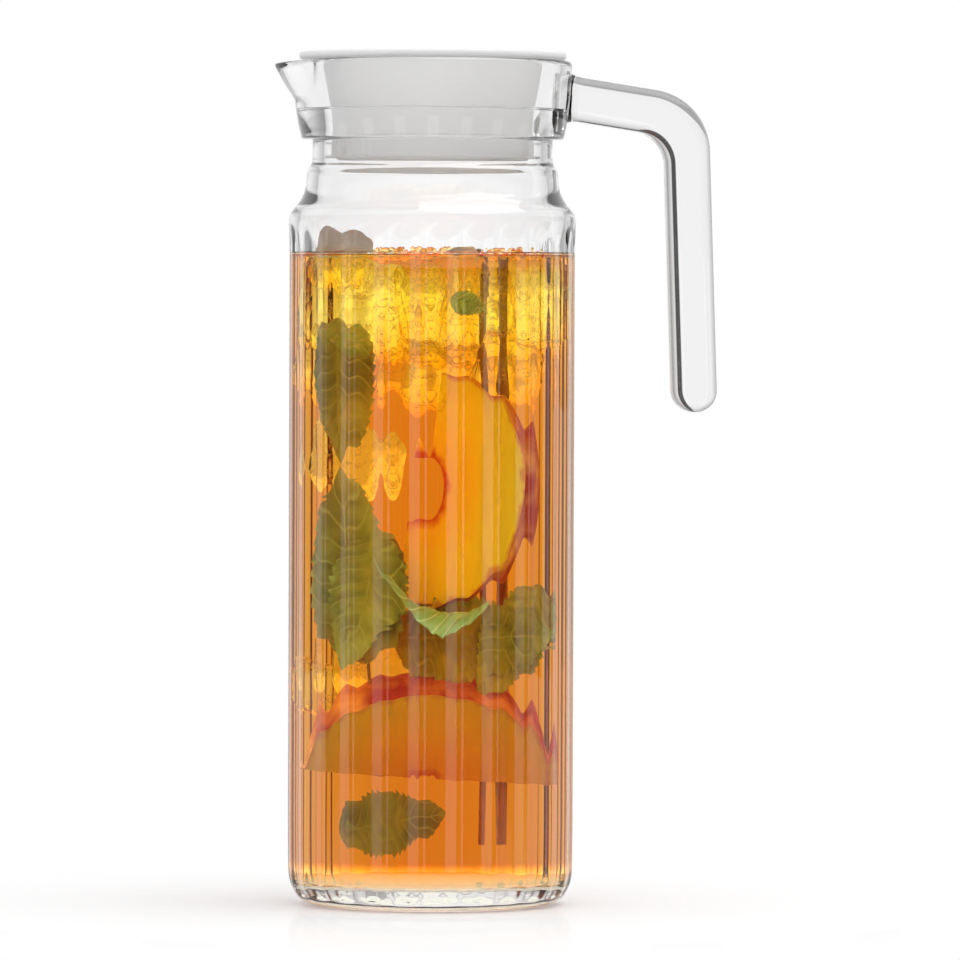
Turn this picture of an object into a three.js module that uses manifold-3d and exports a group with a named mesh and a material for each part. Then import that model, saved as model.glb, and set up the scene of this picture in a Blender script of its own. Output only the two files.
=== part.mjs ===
// A fluted glass carafe with a hook handle and a plug-in lid that twists to pour.
// Millimetres, +Z up. The origin is the centre of the foot. The pour lip points to -X and the handle to +X.
import * as THREE from "three";
import { mergeVertices } from "three/addons/utils/BufferGeometryUtils.js";
import Module from "manifold-3d";

const wasm = await Module();
wasm.setup();

// Glass: foot, fluted side and floor
const bodyDiameter = 90; // across the ridges between the flutes
const wallThickness = 3.5; // from a ridge to the smooth bore
const sideHeight = 213; // from the table to where the shoulder begins
const footEdgeWidth = 10.5; // round between the foot and the side, on the radius
const footEdgeHeight = 12.5;
const floorThickness = 4.5; // glass under the drink, beside the wall
const puntRise = 3.5; // how far the floor domes up in the middle
const boreEdgeRadius = 5; // round between the floor and the bore
const fluteCount = 24;
const fluteDepth = 1.1; // a flute's middle below the ridges

// Glass: shoulder, bead and neck
const shoulderHeight = 14.5; // from the side up to the bead
const beadStep = 1.75; // the bead's swell beyond the neck, on the radius
const beadHeight = 5.5; // from the bead up to the neck
const neckDiameter = 75;
const neckHeight = 5.7;
const neckWall = 3.5;
const boreDrop = 2.5; // how far the neck's bore runs on below the outside of the neck
const shoulderEase = [0.31, 0.35]; // shares of the rise where the curve leaves and arrives upright
const beadEase = [0.54, 0.4];

// Glass: collar and pour lip
const collarHeight = 24.7;
const collarStep = 3.6; // the collar's foot beyond the neck, on the radius
const collarFlare = 2.4; // the rim beyond the collar's foot, on the radius
const collarEdge = 1.2;
const collarSwell = 0.4; // share of the collar's height that takes up most of the flare
const rimWall = 3.5;
const cupDepth = 14.9; // from the rim down to the ledge inside the collar
const cupTaper = 0.5;
const ledgeEdge = 0.5;
const lipReach = 6.5; // the pour lip's tip beyond the rim
const lipHalfAngle = 33; // degrees, on the outside
const grooveHalfAngle = 18; // degrees, of the pour groove inside the lip
const lipDepth = 12.4; // how far below the rim the lip begins
const lipDroop = 1; // how far the lip's tip lies below the rim

// Handle
const handleWidth = 14; // across the grip, in the handle's own plane
const handleThickness = 15; // square to that plane
const handleEdgeRadius = 3.8;
const armDroop = 9; // degrees below level
const gripLean = 1.9; // degrees from plumb, outwards at the bottom
const gripReach = 35.9; // from the rim out to the middle of the grip
const gripLength = 92.3; // from the arm's middle line down to the tip
const armBelowRim = 11.6; // where the arm's middle line meets the collar
const bendOuterRadius = 20;
const bendInnerRadius = 10.8;
const tipRoundness = 0.92; // share of the half width that rounds the tip

// Lid and strainer
const flangeInset = 1.8; // the lid's edge inside the rim's outer edge, on the radius
const flangeThickness = 2.4;
const pourChannel = 5.2; // between the rim's bore and the top of the plug
const taperLength = 14.7; // length of the plug's cone
const plugClearance = 2.4; // between the plug and the neck's bore
const plugLength = 8.4; // straight part of the plug, below the cone
const plugWall = 2;
const reliefDepth = 5.6; // flat cut on the pour side of the plug
const gripWellRadius = 21; // sunk finger grip in the lid's top
const gripWellDepth = 11.5;
const gripBarWidth = 5;
const ringHeight = 8;
const ringWall = 1.9;
const hoopHeight = 1.1; // solid hoop above and below the windows
const windowCount = 6;
const windowPitch = 22; // degrees
const pourWindows = 2; // windows that the spigot's cut-out opens at a time
const ribAngle = 2; // degrees of ring left between two windows
const spigotWall = 1.8;
const snapStep = 0.7; // the spigot's end beyond its side, which holds the ring
const snapHeight = 0.9;

// Gaps between neighbours
const fitGap = 0.3; // between pieces that slide, turn or seat
const seamGap = 0.3; // between the handle's root and the collar

// Facets
const sidesPerFlute = 4;
const lidSides = 48;
const cutterReach = 60; // how far cutting tools run past the piece

// Heights and radii that follow from the sizes above
const degrees = Math.PI / 180;
const ridgeRadius = bodyDiameter / 2;
const boreRadius = ridgeRadius - wallThickness;
const neckRadius = neckDiameter / 2;
const neckBore = neckRadius - neckWall;
const beadRadius = neckRadius + beadStep;
const beadZ = sideHeight + shoulderHeight;
const neckZ = beadZ + beadHeight;
const collarZ = neckZ + neckHeight;
const collarRadius = neckRadius + collarStep;
const rimZ = collarZ + collarHeight;
const rimRadius = collarRadius + collarFlare;
const rimBore = rimRadius - rimWall;
const ledgeZ = rimZ - cupDepth;

const flangeBottom = rimZ + fitGap;
const lidTop = flangeBottom + flangeThickness;
const taperZ = flangeBottom - taperLength;
const plugTopRadius = rimBore - pourChannel;
const plugRadius = neckBore - plugClearance;
const plugZ = taperZ - plugLength;
const ringTop = plugZ - fitGap;
const ringBottom = ringTop - ringHeight;
const ringBore = plugRadius - ringWall;
const windowBottom = ringBottom + hoopHeight;
const windowTop = ringTop - hoopHeight;
const spigotRadius = ringBore - fitGap;
const spigotBottom = ringBottom - fitGap - snapHeight;

function glassMaterial() {
  return new THREE.MeshStandardMaterial({ color: 0xe9f2ef, roughness: 0.03, transparent: true, opacity: 0.4 });
}

function plasticMaterial() {
  return new THREE.MeshStandardMaterial({ color: 0xd6d8d8, roughness: 0.42 });
}

// A closed geometry as a solid for joining and cutting.
function solidFrom(geometry) {
  const bare = geometry.clone();
  bare.deleteAttribute("normal");
  bare.deleteAttribute("uv");
  const merged = mergeVertices(bare, 1e-4);
  const mesh = new wasm.Mesh({
    numProp: 3,
    vertProperties: merged.attributes.position.array,
    triVerts: new Uint32Array(merged.index.array),
  });
  return new wasm.Manifold(mesh);
}

// A solid back as a geometry.
function geometryFrom(solid) {
  const mesh = solid.getMesh();
  return new THREE.BufferGeometry()
    .setAttribute("position", new THREE.BufferAttribute(mesh.vertProperties, 3))
    .setIndex(new THREE.BufferAttribute(mesh.triVerts, 1));
}

// An outline of radius and height that grows by straight lines and by curves of a few steps.
class Outline {
  constructor(radius, height) {
    this.points = [new THREE.Vector2(radius, height)];
  }

  line(radius, height) {
    this.points.push(new THREE.Vector2(radius, height));
    return this;
  }

  corner(steps, cornerRadius, cornerHeight, radius, height) {
    const curve = new THREE.QuadraticBezierCurve(
      this.points.at(-1),
      new THREE.Vector2(cornerRadius, cornerHeight),
      new THREE.Vector2(radius, height),
    );
    this.points.push(...curve.getPoints(steps).slice(1));
    return this;
  }

  ogee(steps, radius, height, leave, arrive) {
    const from = this.points.at(-1);
    const rise = height - from.y;
    const curve = new THREE.CubicBezierCurve(
      from,
      new THREE.Vector2(from.x, from.y + rise * leave),
      new THREE.Vector2(radius, from.y + rise * arrive),
      new THREE.Vector2(radius, height),
    );
    this.points.push(...curve.getPoints(steps).slice(1));
    return this;
  }

  revolve(sides) {
    return new THREE.LatheGeometry(this.points, sides).rotateX(Math.PI / 2);
  }
}

// A sector about the Z axis, for cutting windows. Its middle lies at a bearing from the pour lip's side.
function sectorCutter(bearing, angle, radius, bottom, top) {
  const middle = Math.PI + bearing * degrees;
  const half = (angle / 2) * degrees;
  const sector = new THREE.Shape();
  sector.moveTo(0, 0);
  sector.lineTo(radius * Math.cos(middle - half), radius * Math.sin(middle - half));
  sector.absarc(0, 0, radius, middle - half, middle + half, false);
  sector.closePath();
  const cutter = new THREE.ExtrudeGeometry(sector, {
    depth: top - bottom,
    bevelEnabled: false,
    curveSegments: 12,
  });
  return solidFrom(cutter.translate(0, 0, bottom));
}

// The same curve followed from its upper end.
function downwards([leave, arrive]) {
  return [1 - arrive, 1 - leave];
}

// The glass wall: up the outside from the foot's centre, over the rim, and down the bore to the floor's centre.
function bodyOutline() {
  const rimEdge = rimWall / 2;
  const footRadius = ridgeRadius - footEdgeWidth;
  const floorRadius = boreRadius - boreEdgeRadius;
  const domeZ = floorThickness + puntRise;
  return new Outline(0, 0)
    .line(footRadius, 0)
    .corner(3, ridgeRadius, 0, ridgeRadius, footEdgeHeight)
    .line(ridgeRadius, sideHeight)
    .ogee(4, beadRadius, beadZ, ...shoulderEase)
    .ogee(3, neckRadius, neckZ, ...beadEase)
    .line(neckRadius, collarZ)
    .line(collarRadius - collarEdge, collarZ)
    .corner(2, collarRadius, collarZ, collarRadius, collarZ + collarEdge)
    .corner(2, rimRadius, collarZ + collarHeight * collarSwell, rimRadius, rimZ - rimEdge)
    .corner(2, rimRadius, rimZ, rimRadius - rimEdge, rimZ)
    .corner(2, rimBore, rimZ, rimBore, rimZ - rimEdge)
    .line(rimBore - cupTaper, ledgeZ + ledgeEdge)
    .corner(2, rimBore - cupTaper, ledgeZ, rimBore - cupTaper - ledgeEdge, ledgeZ)
    .line(neckBore + ledgeEdge, ledgeZ)
    .corner(2, neckBore, ledgeZ, neckBore, ledgeZ - ledgeEdge)
    .line(neckBore, neckZ - boreDrop)
    .ogee(3, beadRadius - neckWall, beadZ - boreDrop, ...downwards(beadEase))
    .ogee(4, boreRadius, sideHeight, ...downwards(shoulderEase))
    .line(boreRadius, floorThickness + boreEdgeRadius)
    .corner(2, boreRadius, floorThickness, floorRadius, floorThickness)
    .corner(2, floorRadius / 2, domeZ, 0, domeZ);
}

// Radius of the scooped flutes at an angle: narrow ridges, with a shallow hollow between each two.
function fluteRadius(angle) {
  const turns = (angle / (2 * Math.PI)) * fluteCount + 0.5;
  const across = turns - Math.floor(turns);
  return ridgeRadius - fluteDepth * 4 * across * (1 - across);
}

// How far a point of the collar is drawn out into the pour lip, as a share of the lip's full reach.
function lipShare(angle, height, radius) {
  const outside = Math.min(1, Math.max(0, (radius - rimBore) / rimWall));
  const halfAngle = THREE.MathUtils.lerp(grooveHalfAngle, lipHalfAngle, outside) * degrees;
  const across = Math.max(0, 1 - (Math.PI - Math.abs(angle)) / halfAngle);
  const rise = Math.min(1, Math.max(0, (height - rimZ + lipDepth) / lipDepth));
  return across * across * (3 - 2 * across) * rise;
}

// The fluted body, with its lip drawn out of the collar.
function carafeBody() {
  const geometry = bodyOutline().revolve(fluteCount * sidesPerFlute);
  const points = geometry.attributes.position;
  for (let i = 0; i < points.count; i++) {
    const x = points.getX(i);
    const y = points.getY(i);
    const z = points.getZ(i);
    const angle = Math.atan2(y, x);
    const radius = Math.hypot(x, y);
    const share = lipShare(angle, z, radius);
    const fluted = z < beadZ ? Math.min(radius, fluteRadius(angle)) : radius;
    const drawn = fluted + lipReach * share;
    points.setXYZ(i, drawn * Math.cos(angle), drawn * Math.sin(angle), z - lipDroop * share);
  }
  return geometryFrom(solidFrom(geometry));
}

// A closed outline through corners {x, y, radius}, with each corner rounded by an arc.
function roundedShape(corners) {
  const shape = new THREE.Shape();
  corners.forEach((corner, i) => {
    const here = new THREE.Vector2(corner.x, corner.y);
    const before = corners[(i + corners.length - 1) % corners.length];
    const after = corners[(i + 1) % corners.length];
    const back = new THREE.Vector2(before.x, before.y).sub(here).normalize();
    const ahead = new THREE.Vector2(after.x, after.y).sub(here).normalize();
    const half = Math.acos(back.dot(ahead)) / 2;
    const start = here.clone().addScaledVector(back, corner.radius / Math.tan(half));
    const end = here.clone().addScaledVector(ahead, corner.radius / Math.tan(half));
    if (i === 0) shape.moveTo(start.x, start.y);
    else shape.lineTo(start.x, start.y);
    if (corner.radius > 0) {
      const inward = back.clone().add(ahead).normalize();
      const centre = here.clone().addScaledVector(inward, corner.radius / Math.sin(half));
      const from = Math.atan2(start.y - centre.y, start.x - centre.x);
      const to = Math.atan2(end.y - centre.y, end.x - centre.x);
      shape.absarc(centre.x, centre.y, corner.radius, from, to, back.cross(ahead) > 0);
    }
  });
  shape.closePath();
  return shape;
}

// The hook handle, cut to the collar's outside so that its root lies along the glass.
function handle() {
  const half = handleWidth / 2;
  const armSlope = Math.tan(armDroop * degrees);
  const leanSlope = Math.tan(gripLean * degrees);
  const armHalf = half / Math.cos(armDroop * degrees);
  const gripHalf = half / Math.cos(gripLean * degrees);
  const gripX = rimRadius + gripReach;
  const armZ = (x) => rimZ - armBelowRim - (x - rimRadius) * armSlope;
  const middleZ = armZ(gripX);
  const tipZ = middleZ - gripLength;
  const gripEdge = (side, z) => gripX + side * gripHalf + (middleZ - z) * leanSlope;
  const outerZ = armZ(gripX + gripHalf) + armHalf;
  const innerZ = armZ(gripX - gripHalf) - armHalf;
  const tipRadius = half * tipRoundness;
  const bar = new THREE.ExtrudeGeometry(
    roundedShape([
      { x: neckRadius, y: armZ(neckRadius) + armHalf, radius: 0 },
      { x: neckRadius, y: armZ(neckRadius) - armHalf, radius: 0 },
      { x: gripEdge(-1, innerZ), y: innerZ, radius: bendInnerRadius },
      { x: gripEdge(-1, tipZ), y: tipZ, radius: tipRadius },
      { x: gripEdge(1, tipZ), y: tipZ, radius: tipRadius },
      { x: gripEdge(1, outerZ), y: outerZ, radius: bendOuterRadius },
    ]),
    {
      depth: handleThickness - 2 * handleEdgeRadius,
      bevelEnabled: true,
      bevelThickness: handleEdgeRadius,
      bevelSize: handleEdgeRadius,
      bevelOffset: -handleEdgeRadius,
      bevelSegments: 2,
      curveSegments: 5,
    },
  );
  bar.translate(0, 0, handleEdgeRadius - handleThickness / 2).rotateX(Math.PI / 2);
  const collar = new Outline(0, collarZ - seamGap)
    .line(collarRadius + seamGap, collarZ - seamGap)
    .line(collarRadius + seamGap, collarZ + collarEdge)
    .corner(2, rimRadius + seamGap, collarZ + collarHeight * collarSwell, rimRadius + seamGap, rimZ + seamGap)
    .line(0, rimZ + seamGap)
    .revolve(fluteCount * sidesPerFlute);
  return geometryFrom(solidFrom(bar).subtract(solidFrom(collar)));
}

// The ring on the spigot: windows on the pour side, and a lower hoop that closes against the neck.
function strainerRing() {
  const ring = new Outline(ringBore, ringBottom)
    .line(neckBore - fitGap, ringBottom)
    .line(neckBore - fitGap, windowBottom)
    .line(plugRadius, windowBottom)
    .line(plugRadius, ringTop)
    .line(ringBore, ringTop)
    .line(ringBore, ringBottom)
    .revolve(lidSides);
  let solid = solidFrom(ring);
  for (let i = 0; i < windowCount; i++) {
    const bearing = (i - (windowCount - 1) / 2) * windowPitch;
    const angle = windowPitch - ribAngle;
    solid = solid.subtract(sectorCutter(bearing, angle, neckBore, windowBottom, windowTop));
  }
  return geometryFrom(solid);
}

// The flat pour relief down one side of the plug, set back further by an inset for the hollow behind it.
function reliefCutter(inset) {
  const top = flangeBottom - inset;
  const side = new THREE.Shape();
  side.moveTo(inset + reliefDepth - plugTopRadius, top);
  side.lineTo(inset + reliefDepth - plugRadius, taperZ);
  side.lineTo(inset + reliefDepth - plugRadius, plugZ - fitGap);
  side.lineTo(-cutterReach, plugZ - fitGap);
  side.lineTo(-cutterReach, top);
  side.closePath();
  const block = new THREE.ExtrudeGeometry(side, { depth: 2 * cutterReach, bevelEnabled: false });
  return solidFrom(block.translate(0, 0, -cutterReach).rotateX(Math.PI / 2));
}

// The stopper: flanged top with a sunk grip, hollow plug, and a spigot with a cut-out on the pour side.
function lidCap() {
  const flangeRadius = rimRadius - flangeInset;
  const edge = flangeThickness / 2;
  const wellFloor = lidTop - gripWellDepth;
  const outside = new Outline(0, spigotBottom)
    .line(spigotRadius, spigotBottom)
    .line(spigotRadius + snapStep, spigotBottom + snapHeight)
    .line(spigotRadius, spigotBottom + snapHeight)
    .line(spigotRadius, plugZ)
    .line(plugRadius, plugZ)
    .line(plugRadius, taperZ)
    .line(plugTopRadius, flangeBottom)
    .line(flangeRadius - edge, flangeBottom)
    .corner(2, flangeRadius, flangeBottom, flangeRadius, flangeBottom + edge)
    .corner(2, flangeRadius, lidTop, flangeRadius - edge, lidTop)
    .line(0, lidTop)
    .revolve(lidSides);
  const hollow = new Outline(0, spigotBottom - plugWall)
    .line(spigotRadius - spigotWall, spigotBottom - plugWall)
    .line(spigotRadius - spigotWall, plugZ)
    .line(plugRadius - plugWall, plugZ + plugWall)
    .line(plugRadius - plugWall, taperZ)
    .line(plugTopRadius - plugWall, flangeBottom - plugWall)
    .line(gripWellRadius + plugWall, flangeBottom - plugWall)
    .line(gripWellRadius + plugWall, wellFloor - plugWall)
    .line(0, wellFloor - plugWall)
    .revolve(lidSides);
  const well = new Outline(0, wellFloor)
    .line(gripWellRadius, wellFloor)
    .line(gripWellRadius, lidTop + plugWall)
    .line(0, lidTop + plugWall)
    .revolve(lidSides);
  const bar = new THREE.BoxGeometry(2 * gripWellRadius + plugWall, gripBarWidth, gripWellDepth);
  bar.translate(0, 0, lidTop - edge - gripWellDepth / 2);
  const cutOut = sectorCutter(0, pourWindows * windowPitch, plugRadius, windowBottom, windowTop);
  return geometryFrom(
    solidFrom(outside)
      .subtract(reliefCutter(0))
      .subtract(solidFrom(hollow).subtract(reliefCutter(plugWall)))
      .subtract(solidFrom(well))
      .add(solidFrom(bar))
      .subtract(cutOut),
  );
}

function piece(name, geometry, material) {
  const mesh = new THREE.Mesh(geometry, material);
  mesh.name = name;
  return mesh;
}

const lid = new THREE.Group();
lid.add(piece("strainer_ring", strainerRing(), plasticMaterial()));
lid.add(piece("lid_cap", lidCap(), plasticMaterial()));

const carafe = new THREE.Group();
carafe.add(piece("carafe_body", carafeBody(), glassMaterial()));
carafe.add(piece("handle", handle(), glassMaterial()));
carafe.add(lid);

export default carafe;
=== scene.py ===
# %% [markdown]
# # Fluted glass carafe, dressed for its portrait
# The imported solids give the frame: where the glass, the handle and the lid are, and how the lid moves.
# This notebook gives them their looks. It pours the drink too, as separate pieces that ride on the glass.

import math

import bmesh
import bpy
from mathutils import Euler, Matrix, Vector, noise


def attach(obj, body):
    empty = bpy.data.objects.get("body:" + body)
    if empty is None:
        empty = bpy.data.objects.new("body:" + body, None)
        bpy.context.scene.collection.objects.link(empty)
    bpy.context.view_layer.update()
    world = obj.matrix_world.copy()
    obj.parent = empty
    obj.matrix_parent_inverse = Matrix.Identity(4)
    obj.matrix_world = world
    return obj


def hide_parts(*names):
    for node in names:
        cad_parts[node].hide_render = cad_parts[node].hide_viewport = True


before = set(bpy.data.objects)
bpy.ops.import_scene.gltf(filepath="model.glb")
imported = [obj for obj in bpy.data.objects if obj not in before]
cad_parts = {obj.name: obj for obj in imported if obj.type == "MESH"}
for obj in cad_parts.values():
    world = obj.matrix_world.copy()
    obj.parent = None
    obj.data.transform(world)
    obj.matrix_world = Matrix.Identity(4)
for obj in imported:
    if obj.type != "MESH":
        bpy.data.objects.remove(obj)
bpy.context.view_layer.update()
scene = bpy.context.scene
MM = 0.001

# %% [markdown]
# ## Sizes
# The visible glass follows the sizes of the solids, with finer curves. Its floor is thicker, its pour
# groove wider and its ledge crisper than theirs, and the bore widens higher up below the neck. Lengths are
# in millimetres here and become metres when a mesh is made.

# %% Sizes of the glass
RIDGE, BORE, WALL = 45.0, 41.5, 3.5
FOOT_RADIUS, FOOT_EDGE = 34.5, 12.5
SIDE_TOP = 213.0
FLUTES, FLUTE_DEPTH, FLUTE_FADE, RIDGE_SOFTNESS, FLUTE_BLEND = 24, 1.1, 9.0, 0.33, 0.8
FOOT_FLUTE_FROM, FOOT_FLUTE_FULL, FOOT_FLUTE_FADE = BORE + 0.1, BORE + 1.5, 2.5
SHOULDER_EASE, BEAD_EASE = (0.31, 0.35), (0.54, 0.4)
FLOOR, FLOOR_EDGE, DOME = 7.0, 5.0, 10.5
BEAD_RADIUS, BEAD_Z = 39.25, 227.5
NECK_RADIUS, NECK_Z, NECK_BORE, BORE_DROP = 37.5, 233.0, 34.0, 0.7
COLLAR_RADIUS, COLLAR_Z, COLLAR_FILLET, COLLAR_EDGE, COLLAR_SWELL = 41.1, 238.7, 0.8, 1.2, 9.9
RIM_RADIUS, RIM_Z, RIM_BORE, RIM_EDGE = 43.5, 263.4, 40.0, 1.75
LEDGE_Z, LEDGE_EDGE, LEDGE_RADIUS = 248.5, 0.12, 39.5
LIP_REACH, LIP_ANGLE, GROOVE_ANGLE, LIP_DEPTH, LIP_DROOP = 6.5, 33.0, 24.0, 12.4, 1.0
TEA_TOP = 202.0
WET_FROM = FLOOR + FLOOR_EDGE + 1.0
print("glass in mm: rim at", RIM_Z, "bore across", 2 * BORE)

# %% Sizes of the handle
ARM_DROOP, GRIP_LEAN = 9.0, 1.9
ARM_SLOPE, LEAN = math.tan(math.radians(ARM_DROOP)), math.tan(math.radians(GRIP_LEAN))
GRIP_X, GRIP_LENGTH, ARM_BELOW_RIM, ROOT_X = 79.4, 92.3, 11.6, 41.2
HALF_WIDTH, HALF_DEPTH, EDGE = 7.0, 7.5, 3.8
BEND_OUTER, BEND_INNER = 20.0, 10.8
SWELL_FROM, SWELL_LENGTH, SWELL = 42.2, 4.0, 0.7
TIP_RINGS, TIP_SPREAD = 11, 11.4
print("handle in mm: arm to tip", GRIP_LENGTH, "width", 2 * HALF_WIDTH)

# %% Sizes of the lid
LID_TOP, FLANGE_Z, FLANGE_RADIUS, FLANGE_EDGE = 266.1, 263.7, 41.7, 1.2
PLUG_TOP_RADIUS, PLUG_RADIUS, TAPER_Z, PLUG_Z, PLUG_WALL = 34.8, 31.6, 249.0, 240.6, 2.0
TAPER_BEND, TAPER_STEP, FLANGE_FILLET, SOFT_EDGE = 1.0, 0.32, 0.9, 0.3
RELIEF = 5.6
RING_TOP, RING_BOTTOM, RING_BORE, HOOP_RADIUS = 240.3, 232.3, 29.7, 33.7
SPIGOT_RADIUS, SPIGOT_BOTTOM, SPIGOT_BORE, SNAP_STEP, SNAP_HEIGHT = 29.4, 231.1, 27.6, 0.7, 0.9
WINDOWS, WINDOW_BOTTOM, WINDOW_TOP, WINDOW_PITCH, RIB_ANGLE = 6, 233.4, 239.2, 22.0, 2.0
WELL_RADIUS, WELL_FLOOR, WELL_EDGE, WELL_FILLET = 21.0, 254.6, 0.8, 2.5
BAR_LENGTH, BAR_WIDTH, BAR_BOTTOM, BAR_TOP = 44.0, 5.0, 253.4, 264.9
LID_COLUMNS, CUT_REACH, WINDOW_REACH = 160, 60.0, 40.0
print("lid in mm: top at", LID_TOP, "flange across", 2 * FLANGE_RADIUS)

# %% [markdown]
# ## Small tools
# A few helpers keep the steps below short: an outline that grows by lines and curves, node outputs that can
# be added and multiplied like numbers, and a way to turn a modifier's result into a plain mesh.


# %% Outline tool
class Outline:
    """Points of radius and height, in millimetres, that grow by lines and curves."""

    def __init__(self, radius, height):
        self.points = [(radius, height)]

    def line(self, radius, height, steps=1):
        r, z = self.points[-1]
        for i in range(1, steps + 1):
            t = i / steps
            self.points.append((r + (radius - r) * t, z + (height - z) * t))
        return self

    def corner(self, steps, corner_radius, corner_height, radius, height):
        r, z = self.points[-1]
        for i in range(1, steps + 1):
            t = i / steps
            a, b, c = (1 - t) ** 2, 2 * t * (1 - t), t * t
            across = a * r + b * corner_radius + c * radius
            self.points.append((across, a * z + b * corner_height + c * height))
        return self

    def ogee(self, steps, radius, height, leave, arrive):
        r, z = self.points[-1]
        rise = height - z
        for i in range(1, steps + 1):
            t = i / steps
            a, b, c, d = (1 - t) ** 3, 3 * t * (1 - t) ** 2, 3 * t * t * (1 - t), t**3
            across = (a + b) * r + (c + d) * radius
            up = a * z + b * (z + rise * leave) + c * (z + rise * arrive) + d * height
            self.points.append((across, up))
        return self


def downwards(ease):
    """The ease of an ogee that is drawn from its other end."""
    return 1 - ease[1], 1 - ease[0]


# %% Node tools
class Value:
    """One output of a node. Arithmetic with it adds nodes to the same tree."""

    def __init__(self, tree, socket):
        self.tree = tree
        self.socket = socket

    def math(self, operation, *others):
        inputs = dict(enumerate((self, *others)))
        return value_of(self.tree, "ShaderNodeMath", inputs, operation=operation)

    def vector(self, operation, *others):
        """Vector Math. Lengths and dot products are its second output."""
        inputs = dict(enumerate((self, *others)))
        output = 1 if operation in ("LENGTH", "DOT_PRODUCT") else 0
        return value_of(self.tree, "ShaderNodeVectorMath", inputs, output, operation=operation)

    def ramp(self, low, high, kind="SMOOTHSTEP"):
        """0 at low and 1 at high, held beyond them."""
        inputs = {"Value": self, "From Min": low, "From Max": high}
        return value_of(self.tree, "ShaderNodeMapRange", inputs, interpolation_type=kind)

    def __add__(self, other):
        return self.math("ADD", other)

    def __sub__(self, other):
        return self.math("SUBTRACT", other)

    def __rsub__(self, number):
        return value_of(self.tree, "ShaderNodeMath", {0: number, 1: self}, operation="SUBTRACT")

    def __mul__(self, other):
        return self.math("MULTIPLY", other)

    def __truediv__(self, other):
        return self.math("DIVIDE", other)

    def __abs__(self):
        return self.math("ABSOLUTE")


def new_node(tree, kind, inputs=None, **settings):
    """A node with its settings, and with inputs given as plain data or as values of other nodes."""
    node = tree.nodes.new(kind)
    for key, given in settings.items():
        setattr(node, key, given)
    for key, given in (inputs or {}).items():
        if isinstance(given, Value):
            tree.links.new(given.socket, node.inputs[key])
        else:
            node.inputs[key].default_value = given
    return node


def value_of(tree, kind, inputs=None, output=0, **settings):
    """One output of a new node."""
    return Value(tree, new_node(tree, kind, inputs, **settings).outputs[output])


def values_of(tree, kind, inputs=None):
    """All outputs of a new node, by name."""
    return {socket.name: Value(tree, socket) for socket in new_node(tree, kind, inputs).outputs}


# %% Geometry tree tools
def start_tree(name, floats, ints=(), vectors=()):
    """A Geometry Nodes tree with named inputs. Returns it with the values of those inputs."""
    tree = bpy.data.node_groups.new(name, "GeometryNodeTree")
    sockets = [("Geometry", "Geometry"), ("Material", "Material")]
    for kind, names in (("Float", floats), ("Int", ints), ("Vector", vectors)):
        sockets += [(socket, kind) for socket in names]
    for socket, kind in sockets:
        tree.interface.new_socket(socket, in_out="INPUT", socket_type="NodeSocket" + kind)
    tree.interface.new_socket("Geometry", in_out="OUTPUT", socket_type="NodeSocketGeometry")
    return tree, values_of(tree, "NodeGroupInput")


def end_tree(tree, geometry, given):
    """Ends a tree with real geometry that has its material."""
    real = value_of(tree, "GeometryNodeRealizeInstances", {"Geometry": geometry})
    inputs = {"Geometry": real, "Material": given["Material"]}
    new_node(tree, "NodeGroupOutput", {"Geometry": value_of(tree, "GeometryNodeSetMaterial", inputs)})
    return tree


def merged(geometry, distance):
    inputs = {"Geometry": geometry, "Distance": distance}
    return value_of(geometry.tree, "GeometryNodeMergeByDistance", inputs)


def placed(geometry, **inputs):
    return value_of(geometry.tree, "GeometryNodeSetPosition", {"Geometry": geometry, **inputs})


# %% Mesh tools
def new_object(name, data):
    obj = bpy.data.objects.new(name, data)
    scene.collection.objects.link(obj)
    return obj


def mesh_object(name, corners, edges=(), faces=()):
    mesh = bpy.data.meshes.new(name)
    mesh.from_pydata(corners, edges, faces)
    return new_object(name, mesh)


def shape_object(name, shape, *materials):
    """An object from a bmesh, which is then freed."""
    mesh = bpy.data.meshes.new(name)
    shape.to_mesh(mesh)
    shape.free()
    for material in materials:
        mesh.materials.append(material)
    return new_object(name, mesh)


def thread(name, spots):
    """Points joined in a row."""
    return mesh_object(name, spots, [(i, i + 1) for i in range(len(spots) - 1)])


def make_plain(obj):
    """The object keeps what its modifiers made, as a plain closed mesh with faces outward."""
    bpy.context.view_layer.update()
    graph = bpy.context.evaluated_depsgraph_get()
    mesh = bpy.data.meshes.new_from_object(obj.evaluated_get(graph), depsgraph=graph)
    obj.modifiers.clear()
    old = obj.data
    obj.data = mesh
    bpy.data.meshes.remove(old)
    mesh.name = obj.name
    shape = bmesh.new()
    shape.from_mesh(mesh)
    bmesh.ops.recalc_face_normals(shape, faces=shape.faces)
    shape.to_mesh(mesh)
    shape.free()
    return obj


def use_tree(obj, tree, values):
    """Adds a Geometry Nodes modifier with its named inputs set, then makes the object plain."""
    step = obj.modifiers.new(tree.name, "NODES")
    step.node_group = tree
    for item in tree.interface.items_tree:
        if item.item_type == "SOCKET" and item.in_out == "INPUT" and item.name in values:
            step[item.identifier] = values[item.name]
    return make_plain(obj)


def combine(obj, other, operation):
    """Joins or cuts obj by another object, which is then removed."""
    step = obj.modifiers.new(operation, "BOOLEAN")
    step.object = other
    step.operation = operation
    step.solver = "MANIFOLD"
    make_plain(obj)
    bpy.data.objects.remove(other)


def wear(obj, *materials):
    """Gives an object these materials and no others."""
    obj.data.materials.clear()
    for material in materials:
        obj.data.materials.append(material)


def smooth(obj, angle):
    """Smooth shading, with edges sharper than the angle left crisp."""
    obj.data.shade_smooth()
    obj.data.set_sharp_from_angle(angle=math.radians(angle))


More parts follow.
